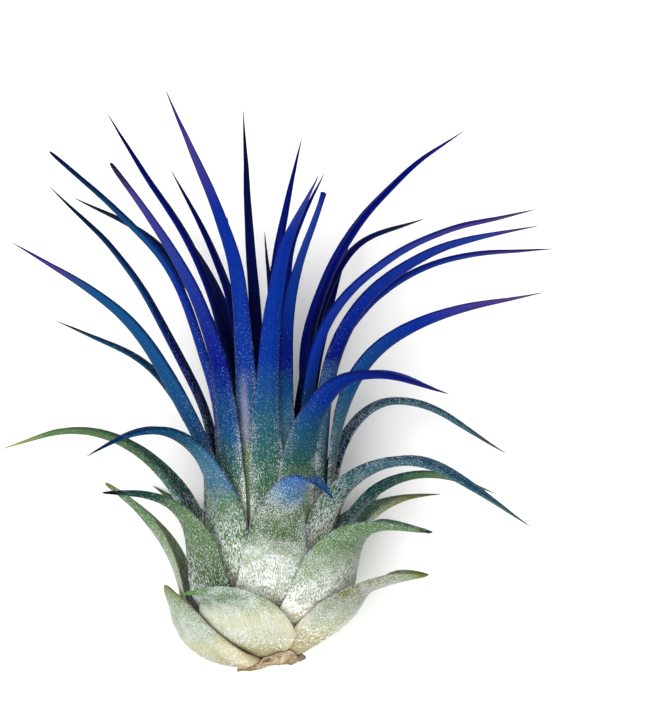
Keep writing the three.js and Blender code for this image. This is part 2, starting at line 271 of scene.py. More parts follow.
def measure_leaf(mesh, rows, across):
    """Writes along, across and inside for each point, and returns the leaf's length."""
    size = 2 * across
    places = points_of(mesh)[np.array(rows)]
    middle = places.mean(axis=1)
    steps = np.linalg.norm(np.diff(middle, axis=0), axis=1)
    distance = np.concatenate([[0], np.cumsum(steps)])
    sideways = np.linspace(-1, 1, across)
    values = {name: np.zeros(len(mesh.vertices)) for name in ("along", "across", "inside")}
    for i, row in enumerate(rows):
        values["along"][row] = distance[i] / distance[-1]
        values["across"][row] = np.concatenate([sideways, sideways[::-1]])
        values["inside"][row[across:]] = 1
    for name, numbers in values.items():
        write_attribute(mesh, name, numbers)
    closed = np.concatenate([places, places[:, :1]], axis=1)
    lengths = np.linalg.norm(np.diff(closed, axis=1), axis=2)
    around = np.concatenate([np.zeros((len(rows), 1)), np.cumsum(lengths, axis=1)], axis=1)
    around -= around[:, across // 2 : across // 2 + 1]
    lay_leaf_map(mesh, rows, around / MM, distance / MM, size)
    return distance[-1]


def lay_leaf_map(mesh, rows, around, distance, size):
    spot = {point: (i, j) for i, row in enumerate(rows) for j, point in enumerate(row)}
    while mesh.uv_layers:
        mesh.uv_layers.remove(mesh.uv_layers[0])
    layer = mesh.uv_layers.new(name=LEAF_MAP)
    for face in mesh.polygons:
        columns = {spot[point][1] for point in face.vertices}
        closing = columns == {0, size - 1}
        for loop, point in zip(face.loop_indices, face.vertices):
            i, j = spot[point]
            j = size if closing and j == 0 else j
            layer.data[loop].uv = (around[i, j], distance[i])


# %% [markdown]
# The bases of the real sheaths are fleshy and fill the cup of the next one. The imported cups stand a
# little apart, so the inner face of a base moves up the stem, most in its middle and least at its
# thin margins.

# %% Fleshy bases
FLESH = (0.8, 1.2, 1.2, 0.7)  # millimetres added to the first rows
THINNING = 0.8  # how much less of it the margins get
LOWEST_LEAF = 1
LOWEST_FLESH = (1.2, 2.2, 2.6, 2.2, 0.8)
LOWEST_THINNING = 0.3


def thicken_base(mesh, rows, across, number):
    lowest = number == LOWEST_LEAF
    depths, thinning = (LOWEST_FLESH, LOWEST_THINNING) if lowest else (FLESH, THINNING)
    for row, depth in zip(rows, depths):
        for j, point in enumerate(row[across:]):
            edge = abs(2 * j / (across - 1) - 1)
            mesh.vertices[point].co += STEM_WAY * (depth * MM) * (1 - thinning * edge**2)


# %% [markdown]
# In front, a margin of each of three low sheaths laps over its neighbour, so that no gap shows
# between them.

# %% Laps of the sheaths
# For a leaf: is it the right margin, which way does it go, and how many millimetres in the first rows?
LAPS = {
    1: (True, Vector((0.6, 0, -0.8)), (0.2, 0.7, 0.9, 0.9, 0.5)),
    2: (False, Vector((-0.85, 0.3, -0.43)), (0, 0.8, 1.3, 1.2, 0.6)),
    4: (True, Vector((0.96, 0.06, -0.27)), (0, 0.9, 1.7, 1.6, 0.6)),
}
LAP_SHARES = (1, 0.55, 0.2)  # of the way, for the margin and the two columns beside it


def lap_margin(mesh, rows, across, right, way, shifts):
    for row, shift in zip(rows, shifts):
        for steps, share in enumerate(LAP_SHARES):
            column = across - 1 - steps if right else steps
            for point in (row[column], row[2 * across - 1 - column]):
                mesh.vertices[point].co += way * (shift * MM) * share


# %% [markdown]
# A needle tip is two resizes: the last row nearly to a point, the one before it a little. A blunt
# end stays nearly as it is, a round one is widened, a dry one shrivels over its last stretch, and a
# broken one keeps its width and gets a torn edge.
# At the other end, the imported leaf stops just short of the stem. The real one grows from it, so the
# root row moves down the stem a little, apart from the lowest leaf, which reaches the foot already.
# A crease keeps a row sharp where the leaf is cut off, because the subdivision would draw its
# corners in.

# %% Tips and roots
SUBDIVISIONS = 2
# The size of the last row and of the one before it, and how far the last one is pushed out.
TIP_RESIZE = {"needle": (0.12, 0.7), "dry": (0.7, 0.95), "broken": (0.7, 0.85), "blunt": (0.85, 1),
              "round": (1.4, 1.4)}
TIP_PUSH = {"needle": 0.5 * MM, "dry": 0.3 * MM, "broken": 0, "blunt": 0.15 * MM, "round": 0.2 * MM}
ROOT_DROP = 0.9 * MM


def shape_row(piece, row, factor, push, crease=0):
    """Resizes one row of points round its middle, moves it by push and creases it."""
    mesh = piece.data
    middle = sum((mesh.vertices[i].co for i in row), Vector()) / len(row)
    deselect_mesh("VERT")
    for i in row:
        mesh.vertices[i].select = True
    bpy.ops.object.mode_set(mode="EDIT")
    bpy.ops.transform.resize(value=(factor, factor, factor), center_override=middle)
    bpy.ops.transform.translate(value=push)
    bpy.ops.transform.edge_crease(value=crease)
    bpy.ops.object.mode_set(mode="OBJECT")


def shape_ends(piece, rows, kind, number):
    middle = points_of(piece.data)[np.array(rows[-2:])].mean(axis=1)
    way = Vector(middle[1] - middle[0]).normalized()
    last, before = TIP_RESIZE[kind]
    shape_row(piece, rows[-2], before, Vector())
    shape_row(piece, rows[-1], last, way * TIP_PUSH[kind], crease=int(kind == "broken"))
    drop = 0 if number == LOWEST_LEAF else ROOT_DROP
    shape_row(piece, rows[0], 1, -STEM_WAY * drop, crease=1)


# %% [markdown]
# Living leaves are never quite even. After the subdivision, a slow noise moves the points by less
# than the gap between two sheaths, and the ends that are dry or broken are worked over.

# %% Unevenness and worn ends
UNEVEN_SIZE, UNEVEN_AMOUNT = 160, 0.09 * MM  # waves per metre, and how far they move a point
FINE_SIZE, FINE_AMOUNT = 900, 0.02 * MM
DRY_LENGTH = 1.7 * MM
DRY_WAVE, DRY_SWING = 2600, 0.16 * MM
DRY_WAY = Vector((0.5, 0.8, 0.4))
TORN_LENGTH, TORN_SIZE, TORN_AMOUNT = 0.8 * MM, 2600, 0.35 * MM


def uneven(place):
    slow = noise.noise_vector(place * UNEVEN_SIZE) * UNEVEN_AMOUNT
    return slow + noise.noise_vector(place * FINE_SIZE) * FINE_AMOUNT


def roughen(piece, length, kind):
    mesh = piece.data
    along = read_attribute(mesh, "along")
    for vertex, share in zip(mesh.vertices, along):
        left = (1 - share) * length
        place = vertex.co.copy()
        vertex.co += uneven(place)
        if kind == "dry" and left < DRY_LENGTH:
            swing = math.sin(left * DRY_WAVE) * (1 - left / DRY_LENGTH)
            vertex.co += DRY_WAY * swing * DRY_SWING
        if kind == "broken" and left < TORN_LENGTH:
            worn = noise.noise_vector(place * TORN_SIZE) * TORN_AMOUNT
            vertex.co += worn * (1 - left / TORN_LENGTH)


# %% The whole leaf
def smooth_leaf(number, tip):
    """The fine leaf for one node."""
    across = BROAD_ACROSS if number <= BROAD_LEAVES else NARROW_ACROSS
    piece = copy_node(f"leaf_{number:02d}", f"living_leaf_{number:02d}")
    rows = leaf_rows(piece.data, across)
    dissolve_diagonals(piece, rows, across)
    length = measure_leaf(piece.data, rows, across)
    thicken_base(piece.data, rows, across, number)
    if number in LAPS:
        lap_margin(piece.data, rows, across, *LAPS[number])
    shape_ends(piece, rows, tip, number)
    modifier = piece.modifiers.new("round", "SUBSURF")
    modifier.levels = modifier.render_levels = SUBDIVISIONS
    bpy.ops.object.modifier_apply(modifier=modifier.name)
    roughen(piece, length, tip)
    bpy.ops.object.shade_smooth()
    return piece


# %% [markdown]
# ## The finish of each leaf
# The colours run from straw at the root over cream and silvery green to the blue dye, which turns
# violet and nearly black towards the tips. The old leaves at the bottom are green, the front ones
# bright blue, and the ones at the back dark, from their dye and, low on their blades, from painted
# shade of the crown's depth. A finish gives the slot, the kind of coat, the colours with the
# hundredths of the length at which they show, and the colour of the inner face.

# %% Colours by name
COLOURS = {
    "rind": "a08c48", "husk": "b4aa7c", "straw": "ccc08c", "ivory": "c6c6a4", "cream": "bcbc8c",
    "thatch": "a4ae92", "sage": "8a9a72", "fern": "58784a", "bracken": "4a6438", "moss": "528032",
    "lime": "a6b662", "olive": "6c6c34", "seagreen": "2e5c4a", "bottle": "1c443c", "lagoon": "315f69",
    "harbour": "3a6c86", "teal": "1a5068", "petrol": "0a2e4c", "steel": "124878", "sky": "2f62a4",
    "cobalt": "06308a", "royal": "08288a", "ultramarine": "041478", "indigo": "22368a",
    "violet": "40367c", "mauve": "5c3858", "navy": "031270", "midnight": "020a3c",
    "umber": "4a3826", "char": "0c0a0c",
}


def linear(name):
    """A named colour as linear red, green, blue and alpha, by the usual formula for screens."""
    code = COLOURS[name]
    values = [int(code[i : i + 2], 16) / 255 for i in (0, 2, 4)]
    return [v / 12.92 if v <= 0.04045 else ((v + 0.055) / 1.055) ** 2.4 for v in values] + [1]


# %% Kinds of coat
# Each has two curves over the leaf's length: modelled scales on a square millimetre, and how
# thickly the finest scales, which are only drawn, lie between them.
THICK = {0: 3, 0.12: 10, 0.22: 20, 0.85: 16, 1: 6}
COATS = {
    "downy": ({0: 1, 0.12: 4, 0.26: 14, 0.5: 18, 0.85: 17, 0.94: 4, 1: 0},
        {0: 0.1, 0.15: 0.3, 0.3: 0.85, 0.55: 1, 0.7: 1.1, 0.85: 1.1, 0.94: 0.3, 1: 0}),
    "woolly": (THICK,
        {0: 0.4, 0.14: 0.7, 0.22: 1.15, 0.36: 1.1, 0.5: 0.75, 0.7: 0.65, 1: 0.4}),
    "icy": (THICK,
        {0: 0.4, 0.14: 0.7, 0.22: 1.15, 0.36: 1.1, 0.46: 0.75, 0.56: 0.95, 0.66: 0.85, 0.78: 0.45, 1: 0.3}),
    "frosted": ({0: 3, 0.12: 10, 0.25: 16, 0.5: 15, 0.8: 7, 1: 2},
        {0: 0.4, 0.15: 0.7, 0.25: 0.8, 0.36: 0.6, 0.6: 0.6, 0.8: 0.35, 1: 0.2}),
    "dusted": ({0: 3, 0.12: 12, 0.22: 16, 0.4: 11, 0.55: 6, 0.7: 2, 1: 0},
        {0: 0.4, 0.15: 0.8, 0.25: 0.85, 0.4: 0.75, 0.55: 0.5, 0.68: 0.3, 1: 0.15}),
    "powdered": ({0: 3, 0.12: 12, 0.22: 16, 0.4: 12, 0.55: 9, 0.7: 5, 0.9: 2, 1: 0},
        {0: 0.4, 0.15: 0.8, 0.25: 0.85, 0.4: 0.8, 0.55: 0.65, 0.75: 0.5, 1: 0.2}),
    "fading": ({0: 3, 0.1: 10, 0.16: 12, 0.26: 11, 0.38: 5, 0.5: 1, 0.6: 0},
        {0: 0.5, 0.15: 0.75, 0.26: 0.75, 0.38: 0.55, 0.5: 0.35, 0.62: 0.15, 0.75: 0}),
    "sparse": ({0: 3, 0.12: 8, 0.2: 3, 0.3: 0.5, 0.4: 0},
        {0: 0.4, 0.2: 0.3, 0.35: 0.1, 0.5: 0}),
}
FINE_COATS = ("fading", "sparse")  # coats of small scales, thickest beside the margins
MIDDLE_COAT, MARGIN_GAIN = 0.65, 0.8  # what a fine coat is multiplied by

# %% The leaves
SILVERY = "straw 0 20, thatch 45, sage 75, olive 100"
GREEN = "straw 0, cream 20, fern 40 70, olive 100"
TEAL = "cream 0, sage 20, seagreen 40, petrol 60, teal 85, umber 100"
# In the next two ramps, the first midnight stop, low on the blade, is painted shade of the crown's depth;
# the navy, violet and char stops are dye.
NAVY_DYE_AND_SHADE = "cream 0, seagreen 15, petrol 28, midnight 42, navy 60 85, char 100"
DARK_DYE_AND_SHADE = "cream 0, seagreen 15, petrol 30, midnight 45, navy 65, midnight 85, char 100"

# How the leaves end that have no needle.
TIPS = {1: "round", 2: "blunt", 6: "blunt", 7: "dry", 10: "dry", 27: "blunt", 30: "broken",
        32: "blunt", 38: "broken"}

# The midnight stop low on the blade in leaves 35, 36, 37, 39 and 40, and the navy stop there in leaves 26
# and 29, are painted shade of the crown's depth.
FINISHES = {
    1: ("silver", "downy", "rind 0 25, husk 36, cream 50, thatch 62, sage 80 100", "olive"),
    2: ("silver", "downy", "husk 0 15, cream 30, thatch 42, olive 55 70, sage 90, olive 100", "olive"),
    3: ("silver", "woolly", SILVERY, "sage"),
    4: ("silver", "downy", "husk 0 15, ivory 30 50, sage 60, fern 68 84, moss 94", "moss"),
    5: ("green", "frosted", GREEN, "seagreen"),
    6: ("green", "woolly", "straw 0, thatch 30, sage 50, fern 75 90, olive 100", "sage"),
    7: ("green", "woolly", "straw 0 18, thatch 28, sage 42, fern 55 90, olive 94, char 96", "seagreen"),
    8: ("green", "frosted", GREEN, "seagreen"),
    9: ("green", "frosted", GREEN, "seagreen"),
    10: ("green", "frosted", "straw 0 12, bracken 25 40, fern 65, bottle 78 93, char 96", "bottle"),
    11: ("teal", "icy",
        "straw 0 12, thatch 24 38, bracken 46 57, harbour 65, sky 80, steel 92, teal 100", "steel"),
    12: ("green", "frosted", "cream 0, sage 30 60, olive 80, umber 100", "seagreen"),
    13: ("teal", "dusted", GREEN, "seagreen"),
    14: ("green", "dusted", "cream 0, sage 20, seagreen 40, bracken 60, fern 85, lime 100", "bottle"),
    15: ("green", "dusted", "cream 0, sage 20, bottle 40 60, fern 80, olive 100", "petrol"),
    16: ("teal", "dusted", TEAL, "petrol"),
    17: ("teal", "dusted", TEAL, "petrol"),
    18: ("teal", "dusted", "straw 0, sage 20, fern 30 38, harbour 46 56, teal 64, steel 85, petrol 100",
        "petrol"),
    19: ("teal", "powdered", "cream 0, sage 20, seagreen 35, lagoon 50 85, sage 100", "teal"),
    20: ("teal", "powdered", "cream 0, sage 20, petrol 40, lagoon 60 85, umber 100", "petrol"),
    21: ("teal", "dusted", TEAL, "petrol"),
    22: ("blue", "fading", "straw 0, seagreen 20, petrol 33, steel 45 80, violet 90, navy 100",
        "midnight"),
    23: ("blue", "fading",
        "cream 0, sage 20, seagreen 30, teal 38, cobalt 50, ultramarine 85, violet 100", "ultramarine"),
    24: ("blue", "fading", "cream 0, bottle 15 28, lagoon 38, steel 48, royal 70, violet 88, mauve 100",
        "navy"),
    25: ("navy", "sparse", DARK_DYE_AND_SHADE, "midnight"),
    26: ("navy", "fading", "cream 0, teal 20, petrol 35, navy 50, steel 70, petrol 88, midnight 100",
        "midnight"),
    27: ("blue", "fading",
        "cream 0, sage 15, seagreen 26, steel 36, ultramarine 50, indigo 75, violet 92, char 100",
        "navy"),
    28: ("blue", "fading",
        "cream 0, fern 12, seagreen 24, teal 36, cobalt 48, royal 80, indigo 90, violet 100",
        "ultramarine"),
    29: ("blue", "fading",
        "cream 0, seagreen 20, harbour 30 37, navy 46, royal 60, indigo 90, mauve 100", "navy"),
    30: ("navy", "sparse", NAVY_DYE_AND_SHADE, "navy"),
    31: ("teal", "sparse", DARK_DYE_AND_SHADE, "midnight"),
    32: ("blue", "fading", "cream 0, teal 20, cobalt 35, royal 60, steel 75, petrol 88, midnight 100",
        "navy"),
    33: ("blue", "fading",
        "thatch 0, sage 12, fern 20, teal 28, cobalt 40, royal 72, violet 88, navy 100", "ultramarine"),
    34: ("blue", "sparse", "cream 0, seagreen 15, petrol 30, royal 42, indigo 70, violet 88, mauve 100",
        "navy"),
    35: ("navy", "sparse", "cream 0, petrol 20, midnight 40, royal 55, indigo 80, mauve 100", "navy"),
    36: ("teal", "sparse", "cream 0, petrol 20, midnight 50, navy 75, petrol 90, umber 100",
        "midnight"),
    37: ("teal", "sparse", "cream 0, petrol 20, midnight 60, petrol 85, umber 100", "midnight"),
    38: ("blue", "fading",
        "cream 0, sage 15, harbour 30, steel 40, ultramarine 52, cobalt 66, indigo 95, navy 100",
        "ultramarine"),
    39: ("navy", "sparse", "cream 0, petrol 20, midnight 42, ultramarine 60 85, violet 100", "navy"),
    40: ("navy", "sparse", "cream 0, petrol 20, midnight 42, royal 60 78, midnight 100", "navy"),
    41: ("navy", "sparse", NAVY_DYE_AND_SHADE, "midnight"),
    42: ("navy", "sparse", "cream 0, steel 20, royal 40, ultramarine 60, navy 85, char 100", "navy"),
    43: ("navy", "sparse", NAVY_DYE_AND_SHADE, "midnight"),
    44: ("navy", "sparse", DARK_DYE_AND_SHADE, "midnight"),
    45: ("navy", "sparse", DARK_DYE_AND_SHADE, "midnight"),
    46: ("navy", "sparse", NAVY_DYE_AND_SHADE, "midnight"),
    47: ("navy", "sparse", DARK_DYE_AND_SHADE, "midnight"),
}


def along_curve(curve, along):
    """The values of a curve of {share: value} at the given shares of the length."""
    return np.interp(along, list(curve), list(curve.values()))


def towards_margin(across):
    """How much thicker or thinner a fine coat is at the given places across the leaf."""
    return MIDDLE_COAT + MARGIN_GAIN * across**2


# %% Make every leaf
leaves = {}
for number, (slot, coat, ramp, inner) in FINISHES.items():
    leaves[number] = smooth_leaf(number, TIPS.get(number, "needle"))
    mesh = leaves[number].data
    drawn = along_curve(COATS[coat][1], read_attribute(mesh, "along"))
    if coat in FINE_COATS:
        drawn *= towards_margin(read_attribute(mesh, "across"))
    write_attribute(mesh, "silver", drawn)
faces = sum(len(leaf.data.polygons) for leaf in leaves.values())
print("leaves:", len(leaves), "with", 2 * faces, "triangles")

# %% [markdown]
# ## Helpers for materials
# A shader node group works like a small machine with named inputs and outputs. The effects that all
# the leaves share are such groups, and each leaf's material places them.

# %% Node helpers
def add_node(tree, kind, **settings):
    node = tree.nodes.new(kind)
    for name, value in settings.items():
        setattr(node, name, value)
    return node


def feed(tree, source, target):
    """Links a socket to another, or sets the target's value."""
    if isinstance(source, bpy.types.NodeSocket):
        tree.links.new(source, target)
    else:
        target.default_value = source


def attribute(tree, name):
    return add_node(tree, "ShaderNodeAttribute", attribute_name=name).outputs["Fac"]


def maths(tree, operation, *values):
    node = add_node(tree, "ShaderNodeMath", operation=operation)
    for socket, value in zip(node.inputs, values):
        feed(tree, value, socket)
    return node.outputs[0]


def map_range(tree, value, low, high, to_low=0.0, to_high=1.0):
    """Eases from to_low, where the value is low or less, to to_high, where it is high or more."""
    node = add_node(tree, "ShaderNodeMapRange", interpolation_type="SMOOTHSTEP")
    for socket, number in zip(node.inputs, (value, low, high, to_low, to_high)):
        feed(tree, number, socket)
    return node.outputs[0]


def mix_colours(tree, factor, first, second, blend="MIX"):
    node = add_node(tree, "ShaderNodeMix", data_type="RGBA", blend_type=blend)
    feed(tree, factor, node.inputs["Factor"])
    feed(tree, first, node.inputs[6])
    feed(tree, second, node.inputs[7])
    return node.outputs[2]


def noise_value(tree, vector, size, detail=2.0):
    node = add_node(tree, "ShaderNodeTexNoise")
    feed(tree, vector, node.inputs["Vector"])
    node.inputs["Scale"].default_value = size
    node.inputs["Detail"].default_value = detail
    return node.outputs["Fac"]


def add_bump(tree, height, strength, depth, shader):
    """Raises the shader's surface a little where the height is large."""
    bump = add_node(tree, "ShaderNodeBump")
    bump.inputs["Strength"].default_value = strength
    bump.inputs["Distance"].default_value = depth
    feed(tree, height, bump.inputs["Height"])
    feed(tree, bump.outputs["Normal"], shader.inputs["Normal"])


def new_group(name, inputs, outputs):
    """An empty node group with float sockets, and its input and output nodes."""
    tree = bpy.data.node_groups.new(name, "ShaderNodeTree")
    for label, value in inputs.items():
        socket = tree.interface.new_socket(label, in_out="INPUT", socket_type="NodeSocketFloat")
        socket.default_value = value
    for label in outputs:
        tree.interface.new_socket(label, in_out="OUTPUT", socket_type="NodeSocketFloat")
    return tree, add_node(tree, "NodeGroupInput"), add_node(tree, "NodeGroupOutput")


def place_group(tree, group, **values):
    node = add_node(tree, "ShaderNodeGroup", node_tree=group)
    for label, value in values.items():
        feed(tree, value, node.inputs[label])
    return node


# %% [markdown]
# ## Three shared effects
# The first shifts the distance along the leaf by noise, so that one colour runs into the next in
# patches. The second draws the smallest scales, too fine to be modelled: noise that is stretched
# along the leaf is cut off at a level that follows the coat. Its grain is finer on the blade, and all
# along a leaf with a fine coat. The third gives the leaf's fine lengthwise veins, its margin and how
# near the sheath's root a point lies.

# %% Patchy distance
PATCH_SIZE, PATCH_FINE_SIZE = 260, 1500  # waves per metre
PATCH_AMOUNT = 0.07  # as a share of the leaf's length

patchy, given, result = new_group("Patchy distance", {"Amount": PATCH_AMOUNT}, ["Along"])
spot = add_node(patchy, "ShaderNodeTexCoord").outputs["Object"]
wide = maths(patchy, "SUBTRACT", noise_value(patchy, spot, PATCH_SIZE), 0.5)
fine = maths(patchy, "SUBTRACT", noise_value(patchy, spot, PATCH_FINE_SIZE), 0.5)
both = maths(patchy, "ADD", wide, fine)
shift = maths(patchy, "MULTIPLY", both, given.outputs["Amount"])
feed(patchy, maths(patchy, "ADD", attribute(patchy, "along"), shift), result.inputs["Along"])

# %% Fine scales
SHEATH_GRAIN, BLADE_GRAIN = (6, 2.2, 1), (9, 5, 1)  # to the millimetre, across and along
BEND_SIZE, BEND_AMOUNT = 2.2, 0.35  # how the strokes wander: to the millimetre, and in millimetres
BLADE_SPAN = (0.25, 0.5)  # where the sheath's grain gives way to the blade's
MOTTLE_SIZE, MOTTLE = 550, (0.3, 0.7, 0.6, 1.15)  # patches where the coat is thinner or thicker
BARE_LEVEL, COVER_DROP = 0.78, -0.32  # the noise shows above a level, which falls where cover is thick
SHEATH_SOFTNESS, BLADE_SOFTENING = 0.05, 0.07  # of the strokes' edges


def stretched_noise(tree, vector, size):
    mapping = add_node(tree, "ShaderNodeMapping")
    feed(tree, vector, mapping.inputs["Vector"])
    mapping.inputs["Scale"].default_value = size
    node = add_node(tree, "ShaderNodeTexNoise", noise_dimensions="2D")
    feed(tree, mapping.outputs[0], node.inputs["Vector"])
    node.inputs["Scale"].default_value = 1
    node.inputs["Detail"].default_value = 1
    return node.outputs["Fac"]


specks, given, result = new_group("Fine silver scales", {"Fine": 0.0}, ["Mask"])
place = add_node(specks, "ShaderNodeUVMap", uv_map=LEAF_MAP).outputs["UV"]
bent = add_node(specks, "ShaderNodeTexNoise", noise_dimensions="2D")
feed(specks, place, bent.inputs["Vector"])
bent.inputs["Scale"].default_value = BEND_SIZE
swirl = add_node(specks, "ShaderNodeVectorMath", operation="SCALE")
feed(specks, bent.outputs["Color"], swirl.inputs[0])
swirl.inputs["Scale"].default_value = BEND_AMOUNT
moved = add_node(specks, "ShaderNodeVectorMath", operation="ADD")
feed(specks, place, moved.inputs[0])
feed(specks, swirl.outputs[0], moved.inputs[1])
blade = map_range(specks, attribute(specks, "along"), *BLADE_SPAN)
blade = maths(specks, "MAXIMUM", blade, given.outputs["Fine"])
coarse = stretched_noise(specks, moved.outputs[0], SHEATH_GRAIN)
fine = stretched_noise(specks, moved.outputs[0], BLADE_GRAIN)
sheath = maths(specks, "SUBTRACT", 1.0, blade)
grain = maths(specks, "ADD", maths(specks, "MULTIPLY", coarse, sheath),
              maths(specks, "MULTIPLY", fine, blade))
spot = add_node(specks, "ShaderNodeTexCoord").outputs["Object"]
mottle = map_range(specks, noise_value(specks, spot, MOTTLE_SIZE), *MOTTLE)
cover = maths(specks, "MULTIPLY", attribute(specks, "silver"), mottle)
level = maths(specks, "MULTIPLY_ADD", cover, COVER_DROP, BARE_LEVEL)
softness = maths(specks, "MULTIPLY_ADD", blade, BLADE_SOFTENING, SHEATH_SOFTNESS)
mask = map_range(specks, grain, level, maths(specks, "ADD", level, softness))
feed(specks, mask, result.inputs["Mask"])

# %% Veins and margin
VEIN_GRAIN = (3.4, 0.06, 1)  # to the millimetre, across and along
MARGIN_WIDTH = 0.22  # as a share of half the leaf's width
PALE_REACH = (5, 11)  # in millimetres from the root, where the pale thin margin ends

effects = ["Vein", "Margin", "Sheath"]
veins, given, result = new_group("Veins and margin", {"Width": MARGIN_WIDTH}, effects)
place = add_node(veins, "ShaderNodeUVMap", uv_map=LEAF_MAP).outputs["UV"]
feed(veins, stretched_noise(veins, place, VEIN_GRAIN), result.inputs["Vein"])
edge = maths(veins, "ABSOLUTE", attribute(veins, "across"))
start = maths(veins, "SUBTRACT", 1.0, given.outputs["Width"])
feed(veins, map_range(veins, edge, start, 1.0), result.inputs["Margin"])
apart = add_node(veins, "ShaderNodeSeparateXYZ")
feed(veins, place, apart.inputs[0])
feed(veins, map_range(veins, apart.outputs["Y"], *PALE_REACH, 1.0, 0.0), result.inputs["Sheath"])
print("shared effects:", [group.name for group in (patchy, specks, veins)])

# %% [markdown]
# ## The skin of a leaf
# A colour ramp turns the patchy distance into the leaf's own colours. The inner face has a colour of
# its own. The veins are darker. The margin of a dyed blade is darkened as painted shade, where the
# blade's sides turn from the light, while a sheath's margin is pale. The silver of the scales lies on
# top, stained by the dye where the leaf is.

# %% Leaf material
SILVER = (0.96, 0.97, 0.93, 1)
DYED_SILVER = (0.17, 0.27, 0.55, 1)  # what the dye makes of the scales
STRAW_MARGIN = (0.58, 0.51, 0.3, 1)
SKIN_ROUGHNESS, SCALE_ROUGHNESS = 0.5, 0.85
GLOSS = 0.02
BUMP_STRENGTH, BUMP_DEPTH = 0.6, 0.06 * MM
# The margins of these dyed blades get painted shade.
DYED = ("teal", "blue", "navy")  # leaves whose blades have a dark margin
# Over which shares of the length an effect changes, and from what strength to what.
INNER_RISE = (0.15, 0.4, 0.2, 0.8)
PAINTED_SHADE_MARGIN_RISE = (0.3, 0.5, 0.0, 0.7)
SPECK_FALL = (0.25, 0.45, 0.95, 0.65)
VEIN_TINT, VEIN_STRENGTH = (0.35, 0.4, 0.45, 1), 0.5
# Painted shade along the margin of a dyed blade, where its sides turn from the light.
PAINTED_SHADE_MARGIN_TINT = (0.12, 0.2, 0.45, 1)
# How far the dye has stained the scales of a coat, low on the leaf and high up.
STAINS = {"dusted": (0, 0.6), "powdered": (0, 0.5), "fading": (0.1, 0.8), "sparse": (0.2, 0.95)}
OTHER_STAIN = (0, 0.3)
STAIN_SPAN = (0.15, 0.42)
FLESH_SHARE = 0.4  # how much of the leaf's own colour a stained scale takes
ROSE_LEAF = 33  # a lilac stripe shows along its middle
ROSE, ROSE_STRENGTH = (0.34, 0.3, 0.42, 1), 0.55
ROSE_WIDTH = (0.05, 0.5)  # it fades between these shares of half the width
ROSE_START, ROSE_END = (0.2, 0.26), (0.3, 0.4)  # where it comes and goes along the leaf


def ramp_stops(ramp):
    """The shares of the length and the colours that a text such as "straw 0 20, sage 45" gives."""
    stops = []
    for part in ramp.split(", "):
        name, *places = part.split()
        stops += [(int(place) / 100, name) for place in places]
    return stops


def colour_ramp(tree, factor, ramp):
    node = add_node(tree, "ShaderNodeValToRGB")
    elements = node.color_ramp.elements
    stops = ramp_stops(ramp)
    while len(elements) < len(stops):
        elements.new(1)
    for element, (share, name) in zip(elements, stops):
        element.position = share
        element.color = linear(name)
    feed(tree, factor, node.inputs["Fac"])
    return node.outputs["Color"]


def rose_stripe(tree, colour):
    """A faint lilac band along the middle of the lower blade of one leaf."""
    across = maths(tree, "ABSOLUTE", attribute(tree, "across"))
    near_middle = map_range(tree, across, *ROSE_WIDTH, 1.0, 0.0)
    along = attribute(tree, "along")
    low = map_range(tree, along, *ROSE_START)
    high = map_range(tree, along, *ROSE_END, 1.0, 0.0)
    share = maths(tree, "MULTIPLY", near_middle, maths(tree, "MULTIPLY", low, high))
    return mix_colours(tree, maths(tree, "MULTIPLY", share, ROSE_STRENGTH), colour, ROSE)


def leaf_material(number, slot, coat, ramp, inner):
    material = bpy.data.materials.new(f"leaf_{number:02d}_skin")
    material.use_nodes = True
    tree = material.node_tree
    shader = tree.nodes["Principled BSDF"]
    along = place_group(tree, patchy).outputs["Along"]
    flesh = colour_ramp(tree, along, ramp)
    if number == ROSE_LEAF:
        flesh = rose_stripe(tree, flesh)
    depth = map_range(tree, along, *INNER_RISE)
    inside = maths(tree, "MULTIPLY", attribute(tree, "inside"), depth)
    flesh = mix_colours(tree, inside, flesh, linear(inner))
    lines = place_group(tree, veins)
    dark_vein = maths(tree, "MULTIPLY", lines.outputs["Vein"], VEIN_STRENGTH)
    flesh = mix_colours(tree, dark_vein, flesh, VEIN_TINT, "MULTIPLY")
    # A dyed blade's margin gets painted shade, where its sides turn from the light.
    if slot in DYED:
        blade = map_range(tree, along, *PAINTED_SHADE_MARGIN_RISE)
        painted_shade_edge = maths(tree, "MULTIPLY", lines.outputs["Margin"], blade)
        flesh = mix_colours(tree, painted_shade_edge, flesh, PAINTED_SHADE_MARGIN_TINT, "MULTIPLY")
    pale_edge = maths(tree, "MULTIPLY", lines.outputs["Margin"], lines.outputs["Sheath"])
    flesh = mix_colours(tree, pale_edge, flesh, STRAW_MARGIN)
    fine = place_group(tree, specks, Fine=float(coat in FINE_COATS))
    strength = map_range(tree, along, *SPECK_FALL)
    silver = maths(tree, "MAXIMUM", maths(tree, "MULTIPLY", fine.outputs["Mask"], strength),
                   attribute(tree, "scale"))
    stain = map_range(tree, along, *STAIN_SPAN, *STAINS.get(coat, OTHER_STAIN))
    dyed = mix_colours(tree, FLESH_SHARE, DYED_SILVER, flesh)
    stained = mix_colours(tree, stain, SILVER, dyed)
    feed(tree, mix_colours(tree, silver, flesh, stained), shader.inputs["Base Color"])
    feed(tree, map_range(tree, silver, 0.0, 1.0, SKIN_ROUGHNESS, SCALE_ROUGHNESS),
         shader.inputs["Roughness"])
    shader.inputs["Specular IOR Level"].default_value = GLOSS
    height = maths(tree, "ADD", fine.outputs["Mask"], lines.outputs["Vein"])
    add_bump(tree, height, BUMP_STRENGTH, BUMP_DEPTH, shader)
    return material


